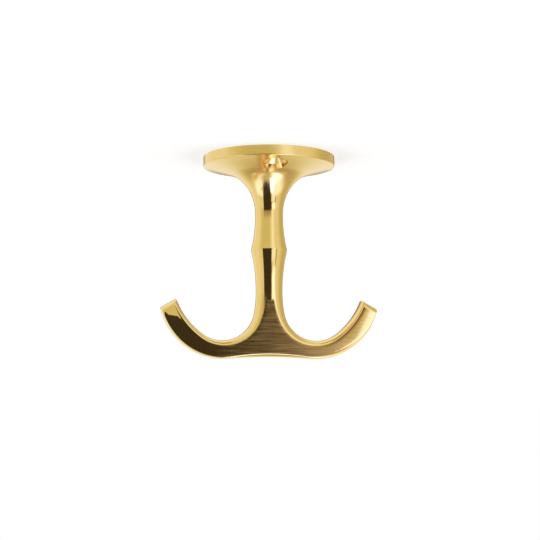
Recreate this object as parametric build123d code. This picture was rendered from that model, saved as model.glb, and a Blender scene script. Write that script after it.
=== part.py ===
from build123d import *
import math
import os

os.makedirs("parts", exist_ok=True)

# The hook is one brass casting, turned above the waist and anchor shaped below it.
# Millimetres, +Z up, arms along X. The origin is the centre of the face that sits on the ceiling.

# round ceiling plate
plate_radius = 20.0
plate_edge = 3.0
rim_break = 0.2

# trumpet flare: two arcs, each with its radius and how far from upright it has turned at its end,
# and then the shallow dish of the plate's underside, which runs on from them out to the edge
flare_low_radius = 13.7
flare_low_turn = 50.0
flare_throat_radius = 8.5
flare_throat_turn = 72.0
flare_low_z = -17.2

# turned stem
stem_waist_radius = 4.26
stem_waist_z = -18.65
ridge_radius = 5.52
ridge_z = -28.66
neck_radius = 4.06
neck_z = -40.75

# countersunk screw holes, one in front and one behind
hole_from_axis = 14.35
screw_radius = 2.0
sink_radius = 3.65
sink_start_z = -4.0

# flat faces of the anchor
flat_half_depth = 4.01

# the sides of the arms are crowned: how far round a quarter oval they get before the flat face
arm_crown = 0.95

# anchor outline, each value half way through its depth and then on the flat face
crotch_radius = (9.83, 11.74)
crotch_x = (14.33, 13.8)
crotch_floor_z = (-56.03, -57.5)
arm_inner_radius = (23.05, 24.15)
arm_turn = -53.6
lobe_radius = (19.5, 19.05)
lobe_x = (13.95, 13.9)
lobe_floor_z = (-61.68, -61.25)
dip_z = (-61.05, -60.15)
tip_reach = (-23.65, -25.2)
tip_slope = 30.0
tip_corner_break = 0.35

# stem and anchor run into each other: below the neck the stem draws in on an arc, which the flats
# cut in a long tongue, and above it the anchor goes on upright, just inside the stem
neck_run_radius = 30.0
neck_run_turn = 6.0
root_depth = 1.0
root_inset = 0.01


def on_circle(centre, radius, degrees_round):
    """Point on a circle, counted from +X."""
    angle = math.radians(degrees_round)
    return (centre[0] + radius * math.cos(angle), centre[1] + radius * math.sin(angle))


def heading_of(centre, point):
    """Direction from a centre to a point, in degrees."""
    return math.degrees(math.atan2(point[1] - centre[1], point[0] - centre[0]))


def arc_at(depth, centre, radius, start, end):
    """Arc in the upright plane at this depth, between two directions."""
    bends = [on_circle(centre, radius, start + (end - start) * share) for share in (0, 0.5, 1)]
    first, middle, last = [(x, depth, z) for x, z in bends]
    return ThreePointArc(first, middle, last)


def bulge(depth, crown):
    """0 half way through the anchor, 1 on its flat face, following an oval."""
    share = crown * abs(depth) / flat_half_depth
    return (1 - math.sqrt(1 - share**2)) / (1 - math.sqrt(1 - crown**2))


def anchor_section(depth):
    """Right half of the anchor, cut upright at this depth."""
    blend = bulge(depth, arm_crown)

    def at(pair):
        return pair[0] + (pair[1] - pair[0]) * blend

    # the neck is round, so its half width follows the circle
    neck_half = math.sqrt((neck_radius - root_inset) ** 2 - depth**2)
    crotch = (at(crotch_x), at(crotch_floor_z) + at(crotch_radius))
    # the neck arc starts upright at the neck and runs on into the crotch
    side = neck_half - crotch[0]
    rise = neck_z - crotch[1]
    neck_arc = (at(crotch_radius) ** 2 - side**2 - rise**2) / (2 * (side + at(crotch_radius)))
    neck_centre = (neck_half + neck_arc, neck_z)
    neck_end = heading_of(neck_centre, crotch)
    # the inner side of the arm runs on from the crotch on a wider arc
    inner_centre = on_circle(crotch, at(crotch_radius) - at(arm_inner_radius), arm_turn)
    lobe = (at(lobe_x), at(lobe_floor_z) + at(lobe_radius))
    # the arm ends square, on a straight line
    tip_normal = (math.sin(math.radians(tip_slope)), math.cos(math.radians(tip_slope)))

    def tip_heading(centre, radius):
        reach = at(tip_reach) - tip_normal[0] * centre[0] - tip_normal[1] * centre[1]
        return math.degrees(math.asin(reach / radius)) - tip_slope

    inner_tip = tip_heading(inner_centre, at(arm_inner_radius))
    outer_tip = tip_heading(lobe, at(lobe_radius))
    # the dip under the shank is an arc that both lobes run into
    lobe_height = lobe[1] - at(dip_z)
    dip_radius = (lobe[0] ** 2 + lobe_height**2 - at(lobe_radius) ** 2) / (2 * (at(lobe_radius) - lobe_height))
    dip_centre = (0, at(dip_z) - dip_radius)
    dip_end = heading_of(dip_centre, lobe)

    neck_top = (neck_half, depth, neck_z + root_depth)
    middle_top = (0, depth, neck_z + root_depth)
    inner_corner = on_circle(inner_centre, at(arm_inner_radius), inner_tip)
    outer_corner = on_circle(lobe, at(lobe_radius), outer_tip)
    edges = [
        Line(middle_top, neck_top),
        Line(neck_top, (neck_half, depth, neck_z)),
        arc_at(depth, neck_centre, neck_arc, 180, neck_end + 360),
        arc_at(depth, crotch, at(crotch_radius), neck_end + 360, 360 + arm_turn),
        arc_at(depth, inner_centre, at(arm_inner_radius), arm_turn, inner_tip),
        Line(
            (inner_corner[0], depth, inner_corner[1]),
            (outer_corner[0], depth, outer_corner[1]),
        ),
        arc_at(depth, lobe, at(lobe_radius), outer_tip, dip_end - 180),
        arc_at(depth, dip_centre, dip_radius, dip_end, 90),
        Line((0, depth, at(dip_z)), middle_top),
    ]
    section = make_face(edges)
    corners = [
        section.vertices().sort_by_distance((corner[0], depth, corner[1]))[0]
        for corner in (inner_corner, outer_corner)
    ]
    return chamfer(corners, tip_corner_break)


def turned_part():
    """Plate, flare and stem, turned about Z down to just below the neck."""
    low_centre = (stem_waist_radius + flare_low_radius, flare_low_z)
    low_end = 180 - flare_low_turn
    throat_centre = on_circle(low_centre, flare_low_radius - flare_throat_radius, low_end)
    throat_end = 180 - flare_throat_turn
    dish_start = on_circle(throat_centre, flare_throat_radius, throat_end)
    turn = math.radians(flare_throat_turn)
    rim = (plate_radius, 0, -plate_edge)
    waist = (stem_waist_radius, 0, stem_waist_z)
    ridge = (ridge_radius, 0, ridge_z)
    neck = (neck_radius, 0, neck_z)
    run_centre = (neck_radius - neck_run_radius, neck_z)
    stem_end = on_circle(run_centre, neck_run_radius, -neck_run_turn)
    edges = [
        Line((0, 0, 0), (plate_radius, 0, 0)),
        Line((plate_radius, 0, 0), rim),
        TangentArc((dish_start[0], 0, dish_start[1]), rim, tangent=(math.sin(turn), 0, math.cos(turn))),
        arc_at(0, throat_centre, flare_throat_radius, low_end, throat_end),
        arc_at(0, low_centre, flare_low_radius, 180, low_end),
        Line((stem_waist_radius, 0, flare_low_z), waist),
        TangentArc(waist, ridge, tangent=(0, 0, -1)),
        TangentArc(neck, ridge, tangent=(0, 0, 1)),
        arc_at(0, run_centre, neck_run_radius, 0, -neck_run_turn),
        Line((stem_end[0], 0, stem_end[1]), (0, 0, stem_end[1])),
        Line((0, 0, stem_end[1]), (0, 0, 0)),
    ]
    profile = make_face(edges)
    rims = profile.vertices().group_by(Axis.X)[-1]
    return revolve(chamfer(rims, rim_break), Axis.Z)


def anchor():
    """Both arms, lofted through the depth of the casting."""
    round_radius = neck_radius - root_inset
    steps = 5
    last = math.asin(flat_half_depth / round_radius)
    depths = [round_radius * math.sin(last * step / steps) for step in range(-steps, steps + 1)]
    half = loft([anchor_section(depth) for depth in depths])
    return half + mirror(half, about=Plane.YZ)


def screw_hole():
    """Clearance hole, cone for the screw head, and the sunk ring that the cone starts from."""
    deep = plate_radius
    cone = sink_radius - screw_radius
    profile = make_face(
        Polyline(
            (0, 0, 1),
            (screw_radius, 0, 1),
            (screw_radius, 0, sink_start_z + cone),
            (sink_radius, 0, sink_start_z),
            (sink_radius, 0, sink_start_z - deep),
            (0, 0, sink_start_z - deep),
            (0, 0, 1),
        )
    )
    return revolve(profile, Axis.Z)


hook = turned_part() + anchor()
for side in (-1, 1):
    hook -= Pos(0, side * hole_from_axis, 0) * screw_hole()

print("volume", round(hook.volume, 1), "valid", hook.is_valid)
print("bounds", hook.bounding_box())
print("solids", len(hook.solids()), "faces", len(hook.faces()))
export_step(hook, "parts/anchor_hook.step")
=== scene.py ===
# %% [markdown]
# # A cast brass anchor hook
#
# The object is a ceiling hook cast in one piece: a round plate that is screwed to the ceiling, a trumpet
# flare that draws in to a slim stem, and a small ship's anchor whose two arms carry what is hung up.
# The upper half of the real casting is turned on a lathe and the lower half is dressed flat on both faces.
# This lesson builds the two halves the way that they are finished in the workshop, joins them, drills the
# two screw holes and polishes the result.

import math

import bmesh
import bpy
from mathutils import Matrix, Vector


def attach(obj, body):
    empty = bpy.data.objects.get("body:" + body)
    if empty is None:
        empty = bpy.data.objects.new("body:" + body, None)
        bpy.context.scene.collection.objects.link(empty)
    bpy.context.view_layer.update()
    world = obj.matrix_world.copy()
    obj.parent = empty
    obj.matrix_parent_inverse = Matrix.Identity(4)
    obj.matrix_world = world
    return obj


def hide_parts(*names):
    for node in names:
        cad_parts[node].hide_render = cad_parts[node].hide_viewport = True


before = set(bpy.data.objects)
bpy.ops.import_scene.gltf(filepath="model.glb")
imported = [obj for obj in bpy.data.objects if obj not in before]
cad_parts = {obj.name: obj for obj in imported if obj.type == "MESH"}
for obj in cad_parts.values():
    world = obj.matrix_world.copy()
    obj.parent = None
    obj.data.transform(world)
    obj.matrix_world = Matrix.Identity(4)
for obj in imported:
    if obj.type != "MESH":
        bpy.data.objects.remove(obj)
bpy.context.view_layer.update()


def in_millimetres(lengths):
    """Lengths in metres, as rounded millimetres to print."""
    return [round(length * 1000, 2) for length in lengths]


# %% [markdown]
# ## Drawing in millimetres
#
# A casting this small is easier to think of in millimetres, so every outline below is drawn in them and the
# finished mesh is scaled to metres once, at the end. An outline is a plain list of points in an upright
# plane: how far out, and how high. Round stretches are arcs, either with a given centre or leaving a point
# in a given direction, and a small curve takes the sharpness off a corner.

# %% Arcs and soft corners
millimetre = 0.001


def on_circle(centre, radius, heading):
    """Point on a circle, heading counted in degrees from straight out."""
    turn = math.radians(heading)
    return Vector((centre[0] + radius * math.cos(turn), centre[1] + radius * math.sin(turn)))


def heading_of(centre, point):
    """Direction from a centre to a point, in degrees."""
    return math.degrees(math.atan2(point[1] - centre[1], point[0] - centre[0]))


def arc(centre, radius, start, end, steps):
    """Points along an arc, both ends included."""
    return [on_circle(centre, radius, start + (end - start) * i / steps) for i in range(steps + 1)]


def leaving_arc(start, direction, end, steps):
    """Arc that leaves the start in this direction and reaches the end."""
    start, end = Vector(start), Vector(end)
    across = Vector((-direction[1], direction[0])).normalized()
    chord = end - start
    reach = chord.length_squared / (2 * chord.dot(across))
    centre = start + across * reach
    first = heading_of(centre, start)
    swing = (heading_of(centre, end) - first + 180) % 360 - 180
    return arc(centre, abs(reach), first, first + swing, steps)


def soft_corner(before, corner, after, ease, steps=4):
    """Small curve round a corner between two neighbouring points."""
    before, corner, after = Vector(before), Vector(corner), Vector(after)
    start = corner + (before - corner).normalized() * ease
    end = corner + (after - corner).normalized() * ease
    curve = []
    for i in range(steps + 1):
        share = i / steps
        curve.append(start * (1 - share) ** 2 + corner * 2 * share * (1 - share) + end * share**2)
    return curve


print("a quarter arc of radius 2 has", len(arc((0, 0), 2, 0, 90, 8)), "points with 8 steps")

# %% [markdown]
# ## Plate, flare and stem
#
# On the real hook these are one turned shape: a plate 40 mm across, a shallow dish under it, two arcs that
# tighten into the waist, then a spindle that swells to a crisp ridge and thins again to the neck. A turned
# shape is fully told by half of its outline, so that outline is all that is drawn here. The rim and the
# ridge get a small soft corner, because no polished edge is a true knife edge and a soft one catches a
# thin line of light.

# %% Outline of the turned half
plate_radius = 20.0
plate_edge = 3.0
rim_ease = 0.2
flare_low_radius = 13.7
flare_low_turn = 50.0
flare_throat_radius = 8.5
flare_throat_turn = 72.0
flare_low_z = -17.2
waist_radius = 4.26
waist_z = -18.65
ridge_radius = 5.52
ridge_z = -28.66
ridge_ease = 0.12
neck_radius = 4.06
neck_z = -40.75
neck_run_radius = 60.0
neck_run_turn = 5.5

# how many steps each curve gets, from the rim down
dish_steps = 24
throat_steps = 12
low_flare_steps = 20
upper_stem_steps = 22
lower_stem_steps = 26
neck_run_steps = 8


def turned_outline():
    """Half outline, from the middle of the ceiling face round to the axis below the neck."""
    low_centre = (waist_radius + flare_low_radius, flare_low_z)
    low_end = 180 - flare_low_turn
    throat_centre = on_circle(low_centre, flare_low_radius - flare_throat_radius, low_end)
    throat_end = 180 - flare_throat_turn
    dish_start = on_circle(throat_centre, flare_throat_radius, throat_end)
    turn = math.radians(flare_throat_turn)
    rim_top = Vector((plate_radius, 0))
    rim_foot = Vector((plate_radius, -plate_edge))
    dish = leaving_arc(dish_start, (math.sin(turn), math.cos(turn)), rim_foot, dish_steps)
    throat = arc(throat_centre, flare_throat_radius, low_end, throat_end, throat_steps)
    low_flare = arc(low_centre, flare_low_radius, 180, low_end, low_flare_steps)
    ridge = Vector((ridge_radius, ridge_z))
    upper = leaving_arc((waist_radius, waist_z), (0, -1), ridge, upper_stem_steps)
    lower = leaving_arc((neck_radius, neck_z), (0, 1), ridge, lower_stem_steps)
    run_centre = (neck_radius - neck_run_radius, neck_z)
    run = arc(run_centre, neck_run_radius, 0, -neck_run_turn, neck_run_steps)
    return [
        Vector((0, 0)),
        Vector((plate_radius / 2, 0)),
        *soft_corner((0, 0), rim_top, rim_foot, rim_ease),
        *soft_corner(rim_top, rim_foot, dish[-2], rim_ease),
        *reversed(dish[:-1]),
        *reversed(throat[:-1]),
        *reversed(low_flare[:-1]),
        *upper[:-1],
        *soft_corner(upper[-2], ridge, lower[-2], ridge_ease),
        *reversed(lower[:-1]),
        *run[1:],
        Vector((0, run[-1][1])),
    ]


print("the turned outline has", len(turned_outline()), "points")

# %% [markdown]
# ## Helpers for node trees
#
# The turned half, the anchor and both finishes are node trees that the script builds. A few small functions
# keep that readable: one starts a tree, one adds a node and fills or links its inputs, others stand for a
# single sum, and one runs a finished tree and keeps the plain mesh that it makes.

# %% Node helpers
# distance in millimetres
seam_weld = 0.002

shape_socket = ("Geometry", "NodeSocketGeometry")


def new_tree(name, kind, inputs, outputs):
    """Node tree with named inputs and outputs, and the two nodes that stand for them inside it."""
    tree = bpy.data.node_groups.new(name, kind)
    for direction, sockets in (("INPUT", inputs), ("OUTPUT", outputs)):
        for label, socket in sockets:
            tree.interface.new_socket(label, in_out=direction, socket_type=socket)
    return tree, tree.nodes.new("NodeGroupInput"), tree.nodes.new("NodeGroupOutput")


def add_node(tree, kind, settings=None, **inputs):
    """Adds a node, sets its options, then fills or links its inputs by name or number."""
    node = tree.nodes.new(kind)
    for option, value in (settings or {}).items():
        setattr(node, option, value)
    for label, value in inputs.items():
        key = int(label[1:]) if label[0] == "_" else label.replace("_", " ")
        if isinstance(value, bpy.types.NodeSocket):
            tree.links.new(value, node.inputs[key])
        else:
            node.inputs[key].default_value = value
    return node


def maths(tree, operation, first, second=0.0):
    """One sum on plain numbers."""
    return add_node(tree, "ShaderNodeMath", {"operation": operation}, _0=first, _1=second).outputs[0]


def whole(tree, operation, first, second=0):
    """One sum on whole numbers."""
    node = add_node(tree, "FunctionNodeIntegerMath", {"operation": operation}, _0=first, _1=second)
    return node.outputs[0]


def ramp(tree, value, start, end, low=0.0, high=1.0):
    """Goes from low to high while the value goes from start to end, and stays level outside."""
    node = add_node(
        tree, "ShaderNodeMapRange", Value=value, From_Min=start, From_Max=end, To_Min=low, To_Max=high
    )
    return node.outputs[0]


def looked_up(tree, geometry, field, data_type, index):
    """Value of a field at one point of another geometry."""
    settings = {"data_type": data_type, "domain": "POINT"}
    node = add_node(tree, "GeometryNodeSampleIndex", settings, Geometry=geometry, Value=field, Index=index)
    return node.outputs["Value"]


def finish_tree(tree, grid, place, finish, out):
    """Moves a grid's points into place, welds the seam, smooths, and gives the metal its finish."""
    moved = add_node(tree, "GeometryNodeSetPosition", Geometry=grid.outputs["Mesh"], Position=place)
    shape = moved.outputs["Geometry"]
    welded = add_node(tree, "GeometryNodeMergeByDistance", Geometry=shape, Distance=seam_weld)
    smooth = add_node(tree, "GeometryNodeSetShadeSmooth", Geometry=welded.outputs["Geometry"])
    real = add_node(tree, "GeometryNodeRealizeInstances", Geometry=smooth.outputs["Geometry"])
    painted = add_node(tree, "GeometryNodeSetMaterial", Geometry=real.outputs["Geometry"], Material=finish)
    tree.links.new(painted.outputs["Geometry"], out.inputs["Geometry"])


def shown(name, data):
    """Puts an object into the scene."""
    thing = bpy.data.objects.new(name, data)
    bpy.context.scene.collection.objects.link(thing)
    return thing


def plain_mesh(thing):
    """Mesh of an object with its modifiers worked in."""
    return bpy.data.meshes.new_from_object(thing.evaluated_get(bpy.context.evaluated_depsgraph_get()))


def made_by(tree, name, outline, values, attributes=()):
    """Runs a tree on a row of points and returns the plain mesh that it makes."""
    row = bpy.data.meshes.new(name + " outline")
    row.from_pydata([(x, 0, z) for x, z in outline], [], [])
    for label, kind, data in attributes:
        layer = row.attributes.new(label, kind, "POINT")
        layer.data.foreach_set("vector" if kind == "FLOAT_VECTOR" else "value", data)
    carrier = shown(name + " carrier", row)
    modifier = carrier.modifiers.new(tree.name, "NODES")
    modifier.node_group = tree
    for item in tree.interface.items_tree:
        if item.in_out == "INPUT" and item.name in values:
            modifier[item.identifier] = values[item.name]
    mesh = plain_mesh(carrier)
    mesh.name = name
    bpy.data.objects.remove(carrier)
    return mesh


print("helpers ready for the lathe, the anchor and the finishes")

# %% [markdown]
# ## A lathe made of nodes
#
# The outline has to be swept round the upright axis. Blender's Screw modifier would do it, but a small
# Geometry Nodes lathe shows each step and serves the screw holes as well. A grid is laid out with one
# column for each outline point and one row for each step round. Every grid point looks up its outline
# point and turns it about the axis. The last row lands on the first one and is welded to it.

# %% The lathe
def lathe_tree():
    """Sweeps an outline of loose points round the upright axis."""
    tree, given, out = new_tree(
        "outline lathe",
        "GeometryNodeTree",
        [shape_socket, ("Steps Round", "NodeSocketInt"), ("Finish", "NodeSocketMaterial")],
        [shape_socket],
    )
    count = add_node(tree, "GeometryNodeAttributeDomainSize", Geometry=given.outputs["Geometry"])
    points = count.outputs["Point Count"]
    steps = given.outputs["Steps Round"]
    rows = whole(tree, "ADD", steps, 1)
    grid = add_node(tree, "GeometryNodeMeshGrid", Vertices_X=rows, Vertices_Y=points)
    index = tree.nodes.new("GeometryNodeInputIndex").outputs[0]
    column = whole(tree, "MODULO", index, points)
    row = whole(tree, "DIVIDE_FLOOR", index, points)
    position = tree.nodes.new("GeometryNodeInputPosition").outputs[0]
    place = looked_up(tree, given.outputs["Geometry"], position, "FLOAT_VECTOR", column)
    angle = maths(tree, "MULTIPLY", maths(tree, "DIVIDE", row, steps), math.tau)
    turned = add_node(tree, "ShaderNodeVectorRotate", {"rotation_type": "Z_AXIS"}, Vector=place, Angle=angle)
    finish_tree(tree, grid, turned.outputs[0], given.outputs["Finish"], out)
    return tree


lathe = lathe_tree()
print("the lathe has", len(lathe.nodes), "nodes")

# %% [markdown]
# ## What the finishes share
#
# Everything is the same cast brass. Outside it is polished, and inside the screw holes the drill leaves it
# rougher. Two things are the same on both, so each is kept in a shader group: one turns a place on the metal
# into hair-fine marks, and one gives the slow, cloudy change of tone that any cast surface keeps after
# polishing.

# %% Shader groups
mark_detail = 3.0
mark_roughness = 0.6
haze_starts = 0.35
haze_full = 0.75
cloud_detail = 4.0
cloud_roughness = 0.55


def polish_marks():
    """Hair-fine marks: slow along the first direction, fast across the other two."""
    group, given, out = new_tree(
        "polish marks",
        "ShaderNodeTree",
        [("Place", "NodeSocketVector"), ("Along", "NodeSocketFloat"), ("Across", "NodeSocketFloat")],
        [("Height", "NodeSocketFloat"), ("Haze", "NodeSocketFloat")],
    )
    place, along, across = given.outputs["Place"], given.outputs["Along"], given.outputs["Across"]
    stretch = add_node(group, "ShaderNodeCombineXYZ", X=along, Y=across, Z=across).outputs[0]
    stretched = add_node(group, "ShaderNodeVectorMath", {"operation": "MULTIPLY"}, _0=place, _1=stretch)
    marks = add_node(
        group,
        "ShaderNodeTexNoise",
        Vector=stretched.outputs[0],
        Scale=1.0,
        Detail=mark_detail,
        Roughness=mark_roughness,
    )
    group.links.new(marks.outputs[0], out.inputs["Height"])
    group.links.new(ramp(group, marks.outputs[0], haze_starts, haze_full), out.inputs["Haze"])
    return group


def cast_tone():
    """Slow change between two tones of the metal."""
    group, given, out = new_tree(
        "cast tone",
        "ShaderNodeTree",
        [
            ("Place", "NodeSocketVector"),
            ("Cloud Size", "NodeSocketFloat"),
            ("Light Tone", "NodeSocketColor"),
            ("Warm Tone", "NodeSocketColor"),
        ],
        [("Colour", "NodeSocketColor")],
    )
    cloud = add_node(
        group,
        "ShaderNodeTexNoise",
        Vector=given.outputs["Place"],
        Scale=given.outputs["Cloud Size"],
        Detail=cloud_detail,
        Roughness=cloud_roughness,
    )
    mixed = add_node(
        group,
        "ShaderNodeMix",
        {"data_type": "RGBA"},
        _0=cloud.outputs[0],
        _6=given.outputs["Light Tone"],
        _7=given.outputs["Warm Tone"],
    )
    group.links.new(mixed.outputs[2], out.inputs["Colour"])
    return group


marks_group = polish_marks()
tone_group = cast_tone()
print("shader groups:", marks_group.name, "and", tone_group.name)

# %% [markdown]
# ## Brass as a material
#
# Brass has no colour of its own as a paint has. It tints what it mirrors with a warm yellow, so the shader
# is a plain metallic one, and the character comes from very small changes of height and roughness. Marks
# that run round a turned surface need a place that is counted round its axis.

# %% Metal helpers
light_brass = (0.89, 0.67, 0.28, 1)
warm_brass = (0.85, 0.62, 0.24, 1)
# painted reflection: lighter and redder, for the warm light that bounces round inside the screw holes
bounce_warmed_brass = (0.95, 0.66, 0.31, 1)
mark_strength = 0.2

# metres, about the radius of the stem
ring_radius = 0.004


def metal(name):
    """Metal material, with its node tree, its shader and the place on the piece."""
    material = bpy.data.materials.new(name)
    material.use_nodes = True
    tree = material.node_tree
    shader = tree.nodes["Principled BSDF"]
    shader.inputs["Metallic"].default_value = 1.0
    return material, tree, shader, add_node(tree, "ShaderNodeTexCoord").outputs["Object"]


def use_group(tree, group, **inputs):
    """Places a shader group and fills its inputs."""
    return add_node(tree, "ShaderNodeGroup", {"node_tree": group}, **inputs)


def toned(tree, place, clouds, light, warm):
    """Colour of the metal, clouded between two tones."""
    tone = use_group(tree, tone_group, Place=place, Cloud_Size=clouds, Light_Tone=light, Warm_Tone=warm)
    return tone.outputs["Colour"]


def round_the_axis(tree, position):
    """Place on a turned surface: how far round, how far out, how high."""
    parts = add_node(tree, "ShaderNodeSeparateXYZ", Vector=position)
    x, y, height = parts.outputs[0], parts.outputs[1], parts.outputs[2]
    squares = maths(tree, "ADD", maths(tree, "POWER", x, 2.0), maths(tree, "POWER", y, 2.0))
    out = maths(tree, "SQRT", squares)
    round_it = maths(tree, "MULTIPLY", maths(tree, "ARCTAN2", y, x), ring_radius)
    return add_node(tree, "ShaderNodeCombineXYZ", X=round_it, Y=out, Z=height).outputs[0], height


def dress(tree, shader, colour, roughness, relief, mark_height):
    """Gives the shader its colour, its roughness and its marks."""
    bump = add_node(tree, "ShaderNodeBump", Strength=mark_strength, Distance=mark_height, Height=relief)
    tree.links.new(colour, shader.inputs["Base Color"])
    tree.links.new(roughness, shader.inputs["Roughness"])
    tree.links.new(bump.outputs[0], shader.inputs["Normal"])


print("brass tones, light to warm:", light_brass[:3], warm_brass[:3])

# %% [markdown]
# ## Polished brass
#
# Turning leaves hair-fine rings round the plate and the stem, and the buffing wheel leaves level lines
# across the anchor. The lines are strongest in the middle, where the wheel is pressed on, and fade out
# along the arms. High in the throat of the flare the wheel reaches badly, so the metal stays a bit hazy.

# %% Polished finish
# heights in millimetres between which the lines take over from the rings
lines_start = neck_z + 1.0
lines_settled = neck_z - 3.0

# distances from the middle between which the lines fade out
lines_full = 12.0
lines_end = 24.0

# heights between which the haze of the throat grows, and how much rougher it makes the metal
throat_low = -14.5
throat_high = -8.5
throat_haze = 0.15

# fineness of the marks along and across them, and their height in metres
ring_marks = {"Along": 250.0, "Across": 9000.0}
line_marks = {"Along": 110.0, "Across": 2600.0}
polished_mark_height = 0.00002
polished_clouds = 90.0

# roughness between the marks and in them, each away from the lines and where the lines are strongest
clear_roughness = (0.03, 0.1)
hazy_roughness = (0.07, 0.25)


def polished_brass():
    """Turned rings above the neck, level buffing lines below it."""
    material, tree, shader, position = metal("polished cast brass")
    ringed, height = round_the_axis(tree, position)
    rings = use_group(tree, marks_group, Place=ringed, **ring_marks)
    lines = use_group(tree, marks_group, Place=position, **line_marks)
    below_neck = ramp(tree, height, lines_start * millimetre, lines_settled * millimetre)
    across = add_node(tree, "ShaderNodeSeparateXYZ", Vector=position).outputs[0]
    from_middle = maths(tree, "ABSOLUTE", across)
    near_middle = ramp(tree, from_middle, lines_end * millimetre, lines_full * millimetre)
    level = maths(tree, "MULTIPLY", lines.outputs["Height"], near_middle)
    relief = add_node(tree, "ShaderNodeMix", _0=below_neck, _2=rings.outputs["Height"], _3=level)
    haze = add_node(tree, "ShaderNodeMix", _0=below_neck, _2=rings.outputs["Haze"], _3=lines.outputs["Haze"])
    worked = maths(tree, "MULTIPLY", below_neck, near_middle)
    clearest = ramp(tree, worked, 0.0, 1.0, *clear_roughness)
    haziest = ramp(tree, worked, 0.0, 1.0, *hazy_roughness)
    marked = ramp(tree, haze.outputs[0], 0.0, 1.0, clearest, haziest)
    in_throat = ramp(tree, height, throat_low * millimetre, throat_high * millimetre, 0.0, throat_haze)
    roughness = maths(tree, "ADD", marked, in_throat)
    colour = toned(tree, position, polished_clouds, light_brass, warm_brass)
    dress(tree, shader, colour, roughness, relief.outputs[0], polished_mark_height)
    return material


polished = polished_brass()
print("finish:", polished.name, "with", len(polished.node_tree.nodes), "nodes")

# %% [markdown]
# ## Drilled brass
#
# The drill and the countersink leave rings round each hole's own axis. The buffing wheel never gets in
# there, so the metal is rougher than outside. Its colour is painted a little lighter and redder, a painted
# reflection of the warm light that bounces round inside the hole.

# %% Drilled finish
hole_from_axis = 14.35
drill_marks = {"Along": 400.0, "Across": 6000.0}
drilled_mark_height = 0.00003
drilled_clouds = 200.0
drilled_roughness = (0.14, 0.24)


def from_hole_axis(tree, position):
    """Place counted from the axis of the nearer screw hole."""
    parts = add_node(tree, "ShaderNodeSeparateXYZ", Vector=position)
    off = maths(tree, "SUBTRACT", maths(tree, "ABSOLUTE", parts.outputs[1]), hole_from_axis * millimetre)
    return add_node(tree, "ShaderNodeCombineXYZ", X=parts.outputs[0], Y=off, Z=parts.outputs[2]).outputs[0]


def drilled_brass():
    """Rougher metal with rings, as a drill and countersink leave it."""
    material, tree, shader, position = metal("drilled brass")
    ringed, _ = round_the_axis(tree, from_hole_axis(tree, position))
    rings = use_group(tree, marks_group, Place=ringed, **drill_marks)
    roughness = ramp(tree, rings.outputs["Haze"], 0.0, 1.0, *drilled_roughness)
    # the lighter, redder tone is a painted reflection of the light bouncing round inside the hole
    colour = toned(tree, position, drilled_clouds, bounce_warmed_brass, light_brass)
    dress(tree, shader, colour, roughness, rings.outputs["Height"], drilled_mark_height)
    return material


drilled = drilled_brass()
print("finish:", drilled.name, "with", len(drilled.node_tree.nodes), "nodes")

# %% [markdown]
# ## Turning the upper half
#
# With the lathe and the finish ready, the outline can be turned. A hundred and ninety-two steps round keep
# the rim smooth even where it is seen edge on.

# %% Upper half
steps_round = 192
turned_settings = {"Steps Round": steps_round, "Finish": polished}
turned_mesh = made_by(lathe, "turned half", turned_outline(), turned_settings)
print("turned half:", len(turned_mesh.vertices), "points")

# %% [markdown]
# ## The anchor and its crowned arms
#
# The lower half is a slab just under 8 mm thick. Its two faces are dressed flat, but its sides are crowned:
# the outline half way through the thickness is fuller than the outline on the flat faces, and in between
# the side follows an oval. So two outlines and one rule tell the whole shape. Each outline runs from the
# neck down an arc into the crotch, up the inner side of the arm on a wider arc, across the square tip, and
# back under the hook along a broad lobe into the dip below the shank. The left side is the right one
# mirrored. Below, a pair of values is for the outline half way through and for the one on the flat face.

# %% Outlines of the anchor
flat_half_depth = 3.9
arm_crown = 0.95
crotch_radius = (9.83, 11.74)
crotch_x = (14.33, 13.8)
crotch_floor_z = (-56.03, -57.5)
arm_inner_radius = (23.05, 24.15)
arm_turn = -53.6
lobe_radius = (19.5, 19.05)
lobe_x = (13.95, 13.9)
lobe_floor_z = (-61.68, -61.25)
dip_z = (-61.05, -60.15)
tip_reach = (-23.65, -25.2)
tip_slope = 30.0
tip_ease = 0.42

# the root that stands inside the stem, a little slimmer than the neck
root_depth = 1.0
root_inset = 0.01
root_radius = neck_radius - root_inset
neck_crown = flat_half_depth / root_radius

# the soft arris: how far below the flat face it starts, how far in it lands, and how much narrower it is
# at the neck and at the tip
arris_depth = 0.12
arris_inset = 1.2
neck_share = 0.4
tip_share = 0.25

# how many steps each curve gets, from the neck round to the dip
neck_arc_steps = 20
crotch_steps = 30
inner_steps = 26
lobe_steps = 56
dip_steps = 16


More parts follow.
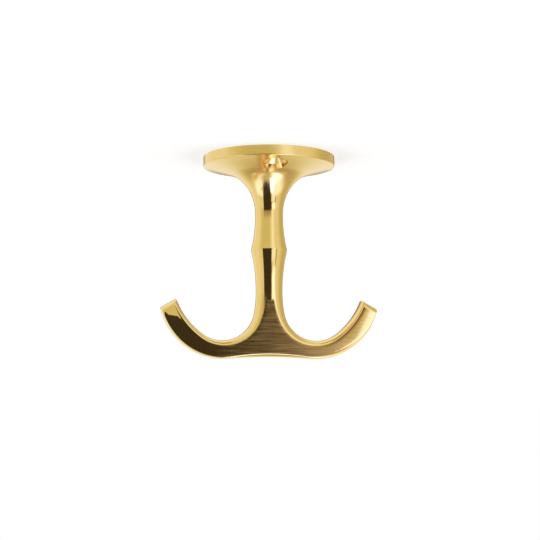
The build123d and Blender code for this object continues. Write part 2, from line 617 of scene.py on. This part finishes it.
def right_side(which, inset=0.0):
    """Right side of the outline, from the root down and round to the dip.

    Which is 0 half way through the thickness and 1 on the flat face. An inset draws a parallel line inside.
    """
    neck_half = math.sqrt(root_radius**2 - (flat_half_depth * which) ** 2)
    neck_half -= min(inset, neck_half * neck_share)
    crotch = Vector((crotch_x[which], crotch_floor_z[which] + crotch_radius[which]))
    inner_centre = on_circle(crotch, crotch_radius[which] - arm_inner_radius[which], arm_turn)
    radius = crotch_radius[which] + inset
    inner_radius = arm_inner_radius[which] + inset
    across = neck_half - crotch[0]
    rise = neck_z - crotch[1]
    neck_arc = (radius**2 - across**2 - rise**2) / (2 * (across + radius))
    neck_centre = (neck_half + neck_arc, neck_z)
    neck_end = heading_of(neck_centre, crotch)
    lobe = Vector((lobe_x[which], lobe_floor_z[which] + lobe_radius[which]))
    outer_radius = lobe_radius[which] - inset
    slope = math.radians(tip_slope)

    def tip_heading(centre, reach):
        height = tip_reach[which] - inset * tip_share
        height -= math.sin(slope) * centre[0]
        height -= math.cos(slope) * centre[1]
        return math.degrees(math.asin(height / reach)) - tip_slope

    inner_tip = tip_heading(inner_centre, inner_radius)
    outer_tip = tip_heading(lobe, outer_radius)
    inner = arc(inner_centre, inner_radius, arm_turn, inner_tip, inner_steps)
    lobe_height = lobe[1] - dip_z[which] - inset
    dip_radius = (lobe[0] ** 2 + lobe_height**2 - outer_radius**2) / (2 * (outer_radius - lobe_height))
    dip_centre = (0, dip_z[which] + inset - dip_radius)
    dip_end = heading_of(dip_centre, lobe)
    outer = arc(lobe, outer_radius, outer_tip, dip_end - 180, lobe_steps)
    return [
        [Vector((neck_half, neck_z + root_depth))],
        arc(neck_centre, neck_arc, 180, neck_end + 360, neck_arc_steps),
        arc(crotch, radius, neck_end + 360, 360 + arm_turn, crotch_steps)[1:],
        inner[1:-1],
        soft_corner(inner[-2], inner[-1], outer[0], tip_ease),
        soft_corner(inner[-1], outer[0], outer[1], tip_ease),
        outer[1:],
        arc(dip_centre, dip_radius, dip_end, 90, dip_steps)[1:],
    ]


def whole_outline(which, inset=0.0):
    """Both sides, once round the anchor."""
    right = [point for stretch in right_side(which, inset) for point in stretch]
    left = [Vector((-point[0], point[1])) for point in reversed(right[:-1])]
    return right + left


def crowns():
    """How far round its oval each outline point gets: a full circle at the neck, less on the arms."""
    stretches = right_side(0)
    right = [neck_crown]
    right += [neck_crown + (arm_crown - neck_crown) * i / neck_arc_steps for i in range(neck_arc_steps + 1)]
    right += [arm_crown] * sum(len(stretch) for stretch in stretches[2:])
    return right + right[-2::-1]


middle_outline = whole_outline(0)
flat_outline = whole_outline(1)
landing_outline = whole_outline(1, arris_inset)
anchor_width = 2 * max(point[0] for point in middle_outline)
print("the anchor outline has", len(middle_outline), "points and is", round(anchor_width, 2), "mm wide")

# %% [markdown]
# ## A crowned slab made of nodes
#
# The tree below lays a grid again, one column for each outline point. This time the rows go through the
# thickness. For each row it works out how deep it lies and how far the oval has drawn the side in, and mixes
# the two outlines by that share. The last few rows on each side turn the sharp arris between side and flat
# face into a soft one, on a curve that leaves the side and lands on the flat face.

# %% The anchor tree
def crowned_slab_tree():
    """Blends two outlines through the thickness by the rule of an oval."""
    tree, given, out = new_tree(
        "crowned slab",
        "GeometryNodeTree",
        [
            shape_socket,
            ("Half Depth", "NodeSocketFloat"),
            ("Round Radius", "NodeSocketFloat"),
            ("Arris Depth", "NodeSocketFloat"),
            ("Crown Steps", "NodeSocketInt"),
            ("Arris Steps", "NodeSocketInt"),
            ("Finish", "NodeSocketMaterial"),
        ],
        [shape_socket],
    )
    outline = given.outputs["Geometry"]
    half_depth = given.outputs["Half Depth"]
    points = add_node(tree, "GeometryNodeAttributeDomainSize", Geometry=outline).outputs["Point Count"]
    side_steps = whole(tree, "ADD", given.outputs["Crown Steps"], given.outputs["Arris Steps"])
    rows = whole(tree, "ADD", whole(tree, "MULTIPLY", side_steps, 2), 1)
    columns = whole(tree, "ADD", points, 1)
    grid = add_node(tree, "GeometryNodeMeshGrid", Vertices_X=rows, Vertices_Y=columns)
    index = tree.nodes.new("GeometryNodeInputIndex").outputs[0]
    column = whole(tree, "MODULO", whole(tree, "MODULO", index, columns), points)
    row = whole(tree, "SUBTRACT", whole(tree, "DIVIDE_FLOOR", index, columns), side_steps)
    from_middle = whole(tree, "ABSOLUTE", row)
    side = maths(tree, "SIGN", row)

    # how deep this row lies, in equal steps round a circle, up to where the arris starts
    crown_row = maths(tree, "MINIMUM", maths(tree, "DIVIDE", from_middle, given.outputs["Crown Steps"]), 1.0)
    arris_start = maths(tree, "SUBTRACT", half_depth, given.outputs["Arris Depth"])
    last_angle = maths(tree, "ARCSINE", maths(tree, "DIVIDE", arris_start, given.outputs["Round Radius"]))
    angle = maths(tree, "MULTIPLY", last_angle, crown_row)
    depth = maths(tree, "MULTIPLY", maths(tree, "SINE", angle), given.outputs["Round Radius"])

    # how far the oval has drawn the side in
    def named(label, kind, data_type):
        field = add_node(tree, "GeometryNodeInputNamedAttribute", {"data_type": data_type})
        field.inputs["Name"].default_value = label
        return looked_up(tree, outline, field.outputs["Attribute"], kind, column)

    crown = named("crown", "FLOAT", "FLOAT")
    share = maths(tree, "DIVIDE", maths(tree, "MULTIPLY", crown, depth), half_depth)

    def drop(value):
        left = maths(tree, "SUBTRACT", 1.0, maths(tree, "MULTIPLY", value, value))
        return maths(tree, "SUBTRACT", 1.0, maths(tree, "SQRT", left))

    bulge = maths(tree, "DIVIDE", drop(share), drop(crown))
    position = tree.nodes.new("GeometryNodeInputPosition").outputs[0]
    middle = looked_up(tree, outline, position, "FLOAT_VECTOR", column)
    flat = named("flat place", "FLOAT_VECTOR", "FLOAT_VECTOR")
    landed = named("landing place", "FLOAT_VECTOR", "FLOAT_VECTOR")

    def mixed(amount, first, second):
        node = add_node(tree, "ShaderNodeMix", {"data_type": "VECTOR"}, _0=amount, _4=first, _5=second)
        return node.outputs[1]

    def at_depth(place, y):
        shift = add_node(tree, "ShaderNodeCombineXYZ", Y=y).outputs[0]
        return add_node(tree, "ShaderNodeVectorMath", {"operation": "ADD"}, _0=place, _1=shift).outputs[0]

    # the soft arris: from the side, past the corner, to the flat face
    past = maths(tree, "MAXIMUM", maths(tree, "SUBTRACT", from_middle, given.outputs["Crown Steps"]), 0.0)
    arris_row = maths(tree, "DIVIDE", past, given.outputs["Arris Steps"])
    leaving = at_depth(mixed(bulge, middle, flat), maths(tree, "MULTIPLY", depth, side))
    corner = at_depth(flat, maths(tree, "MULTIPLY", half_depth, side))
    landing = at_depth(landed, maths(tree, "MULTIPLY", half_depth, side))
    curve = mixed(arris_row, mixed(arris_row, leaving, corner), mixed(arris_row, corner, landing))
    finish_tree(tree, grid, curve, given.outputs["Finish"], out)
    return tree


slab = crowned_slab_tree()
print("the anchor tree has", len(slab.nodes), "nodes")

# %% [markdown]
# ## The anchor's mesh
#
# The tree leaves the slab open at the front and the back, inside the soft arris. Each opening is closed with
# one flat face, which is as flat as the dressing belt makes it on the real casting.

# %% Anchor mesh with its two flat faces
crown_steps = 18
arris_steps = 9


def spread(points):
    """Outline points as one run of numbers for an attribute."""
    return [value for x, z in points for value in (x, 0.0, z)]


def outward(mesh, work=None):
    """Does some work on a mesh, then turns every face outwards. Returns what the work returns."""
    edit = bmesh.new()
    edit.from_mesh(mesh)
    result = work(edit) if work else None
    bmesh.ops.recalc_face_normals(edit, faces=edit.faces)
    edit.to_mesh(mesh)
    edit.free()
    return result


def flat_faces(edit):
    """Closes the two open sides with one flat face each."""
    rims = [edge for edge in edit.edges if edge.is_boundary]
    return len(bmesh.ops.holes_fill(edit, edges=rims, sides=0)["faces"])


anchor_mesh = made_by(
    slab,
    "anchor half",
    middle_outline,
    {
        "Half Depth": flat_half_depth,
        "Round Radius": root_radius,
        "Arris Depth": arris_depth,
        "Crown Steps": crown_steps,
        "Arris Steps": arris_steps,
        "Finish": polished,
    },
    [
        ("flat place", "FLOAT_VECTOR", spread(flat_outline)),
        ("landing place", "FLOAT_VECTOR", spread(landing_outline)),
        ("crown", "FLOAT", crowns()),
    ],
)
print("flat faces added:", outward(anchor_mesh, flat_faces))
print("the anchor half has", len(anchor_mesh.polygons), "faces")

# %% [markdown]
# ## Joining the halves and drilling
#
# The anchor's root stands inside the stem, and below the neck the stem draws in on a wide arc. Joined, the
# flat faces cut a long tongue into the round neck, as the dressing belt does on the real casting. The screw
# holes are drilled after that: each cutter is turned on the same lathe, with a cone for the screw head and
# a wider bore below it that sinks the head into the dished underside.

# %% One casting
screw_radius = 2.0
sink_radius = 3.65
sink_start_z = -4.0
above_plate = 1.0
drill_steps_round = 96


def hole_outline():
    """Half outline of the drill and countersink."""
    cone = sink_radius - screw_radius
    return [
        Vector((0, above_plate)),
        Vector((screw_radius, above_plate)),
        Vector((screw_radius, sink_start_z + cone)),
        Vector((sink_radius, sink_start_z)),
        Vector((sink_radius, sink_start_z - plate_radius)),
        Vector((0, sink_start_z - plate_radius)),
    ]


def cut_or_join(body, tool, operation):
    """Exact boolean, applied, with the tool taken away afterwards."""
    modifier = body.modifiers.new(operation.lower(), "BOOLEAN")
    modifier.operation = operation
    modifier.solver = "EXACT"
    modifier.material_mode = "TRANSFER"
    modifier.object = tool
    mesh = plain_mesh(body)
    body.modifiers.clear()
    body.data = mesh
    bpy.data.objects.remove(tool)


outward(turned_mesh)
casting = shown("anchor_hook_casting", turned_mesh)
cut_or_join(casting, shown("anchor tool", anchor_mesh), "UNION")
drill_settings = {"Steps Round": drill_steps_round, "Finish": drilled}
for side in (-1, 1):
    cutter = made_by(lathe, "drill", hole_outline(), drill_settings)
    outward(cutter)
    cutter.transform(Matrix.Translation((0, side * hole_from_axis, 0)))
    cut_or_join(casting, shown("drill tool", cutter), "DIFFERENCE")
print("the casting has", len(casting.data.polygons), "faces and", len(casting.data.materials), "finishes")

# %% [markdown]
# ## Clean edges and smooth shading
#
# Joining leaves a few points almost on top of each other, so they are welded. Where the flats run out into
# the neck the points are eased a little, as the buffing wheel eases the metal there. A face angle of more
# than 25 degrees stays a crisp edge. Weighted normals keep the big flat faces truly flat up to the soft
# arris, so that a reflection runs straight across them.

# %% Shading
weld_distance = 0.004
crisp_angle = 25.0
flat_weight = 60

# the band round the neck that is eased, between two heights, how many times and how strongly
eased_low = neck_z - 7.5
eased_high = neck_z + 1
ease_passes = 12
ease_strength = 0.5


def cleaned(edit):
    """Welds what joining left and eases the neck. Returns how many edges stay open."""
    bmesh.ops.remove_doubles(edit, verts=edit.verts, dist=weld_distance)
    bmesh.ops.dissolve_degenerate(edit, edges=edit.edges, dist=weld_distance / 4)
    band = [v for v in edit.verts if eased_low < v.co.z < eased_high and abs(v.co.x) < ridge_radius]
    every_way = {"use_axis_x": True, "use_axis_y": True, "use_axis_z": True}
    for _ in range(ease_passes):
        bmesh.ops.smooth_vert(edit, verts=band, factor=ease_strength, **every_way)
    return sum(1 for edge in edit.edges if not edge.is_manifold)


print("open edges in the casting:", outward(casting.data, cleaned))
casting.data.transform(Matrix.Scale(millimetre, 4))
casting.data.shade_smooth()
casting.data.set_sharp_from_angle(angle=math.radians(crisp_angle))
weighted = casting.modifiers.new("flat faces stay flat", "WEIGHTED_NORMAL")
weighted.keep_sharp = True
weighted.weight = flat_weight
casting.data = plain_mesh(casting)
casting.modifiers.clear()
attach(casting, "root")
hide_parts("anchor_hook")
print("triangles:", sum(len(face.vertices) - 2 for face in casting.data.polygons))

# %% [markdown]
# ## The surface it hangs from
#
# In the picture the plate meets a white surface that keeps only a faint shadow. A large white sheet stands
# for it. It is lit like any matt surface, and a little light of its own, seen by the camera alone, lifts
# the lit parts to the white of the page while the shaded ring beside the plate stays a soft grey. The sheet
# is left out of reflections, where the painted room takes its place, and it is clear from above, so that the
# hook can be looked at from there as well.

# %% Ceiling sheet
sheet_half = 12.0
sheet_gap = 0.00002
sheet_white = (0.8, 0.8, 0.8, 1)
sheet_glow = 0.453


def empty_paint(name):
    """Material without a shader yet, with its node tree."""
    material = bpy.data.materials.new(name)
    material.use_nodes = True
    tree = material.node_tree
    tree.nodes.remove(tree.nodes["Principled BSDF"])
    return material, tree


def ceiling_paint():
    """Matt white that the camera sees a little brighter, and that is clear from its back."""
    material, tree = empty_paint("white ceiling")
    matt = add_node(tree, "ShaderNodeBsdfDiffuse", Color=sheet_white)
    path = tree.nodes.new("ShaderNodeLightPath")
    strength = maths(tree, "MULTIPLY", path.outputs["Is Camera Ray"], sheet_glow)
    glow = add_node(tree, "ShaderNodeEmission", Strength=strength)
    both = add_node(tree, "ShaderNodeAddShader", _0=matt.outputs[0], _1=glow.outputs[0])
    clear = tree.nodes.new("ShaderNodeBsdfTransparent")
    from_above = tree.nodes.new("ShaderNodeNewGeometry").outputs["Backfacing"]
    shade = add_node(tree, "ShaderNodeMixShader", _0=from_above, _1=both.outputs[0], _2=clear.outputs[0])
    tree.links.new(shade.outputs[0], tree.nodes["Material Output"].inputs["Surface"])
    return material


ceiling_mesh = bpy.data.meshes.new("ceiling sheet")
corners = [(x * sheet_half, y * sheet_half, sheet_gap) for x, y in ((-1, -1), (-1, 1), (1, 1), (1, -1))]
ceiling_mesh.from_pydata(corners, [], [(0, 1, 2, 3)])
ceiling_mesh.materials.append(ceiling_paint())
ceiling = shown("ceiling_sheet", ceiling_mesh)
ceiling.visible_glossy = False
print("ceiling sheet", 2 * sheet_half, "m wide")

# %% [markdown]
# ## The picture's view
#
# The hook is seen from a little below and a little to one side, from an arm's length away, with a long
# lens. The camera is placed by its distance, its lift and its turn about the hook, and the frame's centre
# lies half way down the stem.

# %% Camera
camera_yaw = 7.7
camera_lift = 6.21
camera_distance = 400.0
look_right = 0.28
look_down = 34.63
camera_roll = -0.08
focal_length = 88.0
view_reach = 20.0


def place_camera():
    """Camera below the ceiling, a little to the left, looking slightly up."""
    yaw = math.radians(camera_yaw)
    lift = math.radians(camera_lift)
    forward = Vector((math.cos(lift) * math.sin(yaw), math.cos(lift) * math.cos(yaw), math.sin(lift)))
    sideways = Vector((math.cos(yaw), -math.sin(yaw), 0))
    place = -forward * camera_distance + sideways * look_right - Vector((0, 0, look_down))
    data = bpy.data.cameras.new("camera")
    data.lens = focal_length
    data.clip_end = view_reach
    camera = shown("camera", data)
    camera.location = place * millimetre
    turn = forward.to_track_quat("-Z", "Y").to_matrix() @ Matrix.Rotation(math.radians(camera_roll), 3, "Z")
    camera.rotation_euler = turn.to_euler()
    bpy.context.scene.camera = camera
    return camera


camera = place_camera()
print("camera at", in_millimetres(camera.location), "mm")

# %% [markdown]
# ## What the brass reflects
#
# Polished metal shows its surroundings more than its own colour, so the room is half of the finish. Here
# the room is painted on the inside of a globe that only reflections see. It is pale all round and a little
# browner below and to the far right. In front, low down, is the dark of the open studio, which gives the
# stem its dark core and the anchor its dark left arm. A bright panel stands to the right of that. Each of
# them is a patch with soft sides, given by the bearings and lifts that it fills. Two things have sharp
# sides: a window on the right, and a small white card held close to the left tip.

# %% What stands where in the room
# metres, with one step of the globe in degrees
room_centre = Vector((0, 0, -0.045))
room_radius = 0.34
room_step = 2.0

# brightness of the pale room, and the compass heading from which bearings are counted
page = 0.88
toward_camera = math.degrees(math.atan2(camera.location.y, camera.location.x))

# name: bearings from the camera's side, blur of left and right side, lifts, blur of them, brightness
patches = {
    "page behind": ((110, 250), (25, 25), (-32, 60), (12, 10), 1.0),
    "floor below": ((-180, 180), (1, 1), (-95, -58), (1, 22), 0.6),
    "far right side": ((88, 150), (22, 20), (-60, 60), (12, 12), 0.63),
    "left fill": ((-110, -72), (12, 10), (-50, 60), (15, 12), 0.95),
    "front wall": ((-62, 8), (20, 9), (6, 42), (4, 12), 0.72),
    "dark studio": ((-43, 21.6), (1.5, 8.2), (-62, 12.0), (6, 0.8), 0.05),
    "bright panel": ((18, 46), (1.5, 1.5), (-75, -9), (8, 2), 1.12),
    "panel top": ((20, 40), (5, 6), (9, 60), (4, 10), 1.1),
    "panel edge": ((47, 53), (1.5, 1.5), (-22, 6), (6, 6), 0.35),
    "lamp behind panel": ((13, 46), (3, 6), (-70, -34), (6, 8), 3.5),
    "right fill": ((31, 92), (3, 25), (-58, -22), (8, 8), 1.25),
    "left lamp": ((-86, -58), (8, 6), (-54, -33), (8, 8), 1.6),
    "right window": ((26, 52), (2, 6), (-6, 9), (2, 2), 1.35),
    "left panel": ((-88, -43), (12, 1.5), (-62, -20), (6, 5), 1.3),
    "far wall": ((149, 211), (10, 10), (4, 24), (1.5, 4), 0.42),
    "floor behind": ((105, 255), (20, 20), (-95, -34), (1, 22), 0.5),
    "floor right": ((50, 120), (20, 20), (-84, -56), (4, 10), 1.7),
    "floor left": ((-120, -70), (10, 10), (-80, -54), (4, 6), 1.2),
}

# a window with sharp edges just inside the globe, which shows along the outer edge of the right arm
window = ((26.2, 7.0), (23.4, 1.4), (22.2, 0.3), (21.6, -1.5), (38.0, -1.5), (38.0, 7.0))
window_radius = 0.335
window_light = 1.35

# a small white card, in millimetres, so close in front of the left tip that only the tip shows it
card = ((-42.0, -52.0), (-32.6, -46.75), (-24.4, -48.0), (-24.4, -40.0), (-42.0, -40.0))
card_depth = -24.0
card_light = 0.74

print("the painted room has", len(patches), "patches, a window and a card")

# %% [markdown]
# ## Brightness and colour of the room
#
# Seen from the hook, every direction has a bearing and a lift. The patches are laid over the pale room one
# after the other, each with a blurred step at its sides, and what comes out is the brightness there. Dark
# parts of a real room mirror browner in brass, and lamps whiter, so the brightness also sets the tint.

# %% Brightness and tint
brown_everywhere = 0.13
brown_half_way = 1.8
blue_lost = 1.5
least_blue = 0.58
lamp_green = 0.25
lamp_blue = 1.6
coolest_lamp = 0.6


def between(value, low, high, blur_low, blur_high):
    """1 inside a range, 0 outside, with a blurred step at each end."""

    def rise(distance, blur):
        share = min(max(distance / (2 * blur) + 0.5, 0.0), 1.0)
        return share * share * (3 - 2 * share)

    return rise(value - low, blur_low) * rise(high - value, blur_high)


def brightness(bearing, lift):
    """Brightness of the room in one direction from the hook."""
    value = page
    for bearings, sides, lifts, ends, glow in patches.values():
        middle = sum(bearings) / 2
        turned = middle + (bearing - middle + 180) % 360 - 180
        share = between(turned, *bearings, *sides) * between(lift, *lifts, *ends)
        value += (glow - value) * share
    return value


def tinted(value):
    """The darker the room, the browner it is, most of all half way down. Lamps are a cooler white."""
    shade = min(max(1.0 - value, 0.0), 1.0)
    cool = min(max(value - 1.0, 0.0), coolest_lamp)
    brown = brown_everywhere * shade + brown_half_way * shade**3 * (1 - shade)
    green = 1 - brown + lamp_green * cool
    blue = max(1 - blue_lost * shade, least_blue) + lamp_blue * cool
    return (value, value * green, value * blue, 1.0)


def way_to(bearing, lift):
    """Direction from the hook, by bearing from the camera's side and by lift."""
    turn, rise = math.radians(toward_camera + bearing), math.radians(lift)
    return Vector((math.cos(turn) * math.cos(rise), math.sin(turn) * math.cos(rise), math.sin(rise)))


front = brightness(0, 0)
print("brightness straight in front:", round(front, 2), "and tint:", [round(v, 2) for v in tinted(front)[:3]])

# %% [markdown]
# ## The globe
#
# The globe is a plain mesh of bearings and lifts. Each of its points stores the colour of the room in its
# direction, and its paint shows that colour as light. The window and the card are single faces inside it.

# %% The painted room
def painted_room():
    """Globe with the room's brightness stored at each of its points."""
    across, up = round(360 / room_step), round(180 / room_step)
    points, colours, faces = [], [], []
    for j in range(up + 1):
        for i in range(across):
            bearing, lift = -180 + i * room_step, -90 + j * room_step
            points.append(room_centre + way_to(bearing, lift) * room_radius)
            colours.extend(tinted(brightness(bearing, lift)))
    for j in range(up):
        for i in range(across):
            after = (i + 1) % across
            low, high = j * across, (j + 1) * across
            faces.append((low + i, low + after, high + after, high + i))
    window_points = [room_centre + way_to(*corner) * window_radius for corner in window]
    card_points = [Vector((x, card_depth, z)) * millimetre for x, z in card]
    for pane, glow in ((window_points, window_light), (card_points, card_light)):
        faces.append(tuple(range(len(points), len(points) + len(pane))))
        points.extend(pane)
        colours.extend(tinted(glow) * len(pane))
    mesh = bpy.data.meshes.new("painted room")
    mesh.from_pydata(points, [], faces)
    stored = mesh.color_attributes.new("glow", "FLOAT_COLOR", "POINT")
    stored.data.foreach_set("color", colours)
    return mesh


def room_paint():
    """Shows the stored brightness as light."""
    material, tree = empty_paint("room paint")
    stored = add_node(tree, "ShaderNodeAttribute", {"attribute_name": "glow"})
    light = add_node(tree, "ShaderNodeEmission", Color=stored.outputs["Color"])
    tree.links.new(light.outputs[0], tree.nodes["Material Output"].inputs["Surface"])
    return material


room = shown("painted_room", painted_room())
room.data.materials.append(room_paint())
room.visible_camera = False
room.visible_diffuse = False
room.visible_shadow = False
room.visible_transmission = False
print("the painted room has", len(room.data.polygons), "faces")

# %% [markdown]
# ## Room and lamps
#
# The room gives even light, weaker than the white that the camera sees, so that the sheet is shaded beside
# the plate. Six low lights stand to the left and the right of the hook. They graze the ceiling and draw the
# plate's shadow out on both sides.

# %% Light
room_light = 0.35
light_bearings = (-130, -93, -55, 55, 93, 130)
light_lift = -14
light_spread = 34
light_strength = 0.8


def white_room():
    """White to the camera and in reflections, softer as a light."""
    world = bpy.data.worlds.new("white room")
    world.use_nodes = True
    bpy.context.scene.world = world
    tree = world.node_tree
    path = tree.nodes.new("ShaderNodeLightPath")
    seen = maths(tree, "MAXIMUM", path.outputs["Is Camera Ray"], path.outputs["Is Glossy Ray"])
    seen = maths(tree, "MAXIMUM", seen, path.outputs["Is Transmission Ray"])
    strength = ramp(tree, seen, 0.0, 1.0, room_light, 1.0)
    background = tree.nodes["Background"]
    background.inputs["Color"].default_value = (1, 1, 1, 1)
    tree.links.new(strength, background.inputs["Strength"])


def low_light(name, bearing):
    """Even light from one side, nearly level with the ceiling, with a soft edge to its shadow."""
    data = bpy.data.lights.new(name, "SUN")
    data.angle = math.radians(light_spread)
    data.energy = light_strength
    lamp = shown(name, data)
    way = way_to(bearing, light_lift)
    lamp.location = room_centre + way
    lamp.rotation_euler = (-way).to_track_quat("-Z", "Y").to_euler()
    lamp.visible_glossy = False


white_room()
for number, bearing in enumerate(light_bearings, 1):
    low_light(f"side_light_{number}", bearing)
print("room and", len(light_bearings), "side lights set")

# %% [markdown]
# ## Finishing
#
# The picture keeps plain colours.

# %% View settings
scene = bpy.context.scene
scene.view_settings.view_transform = "Standard"
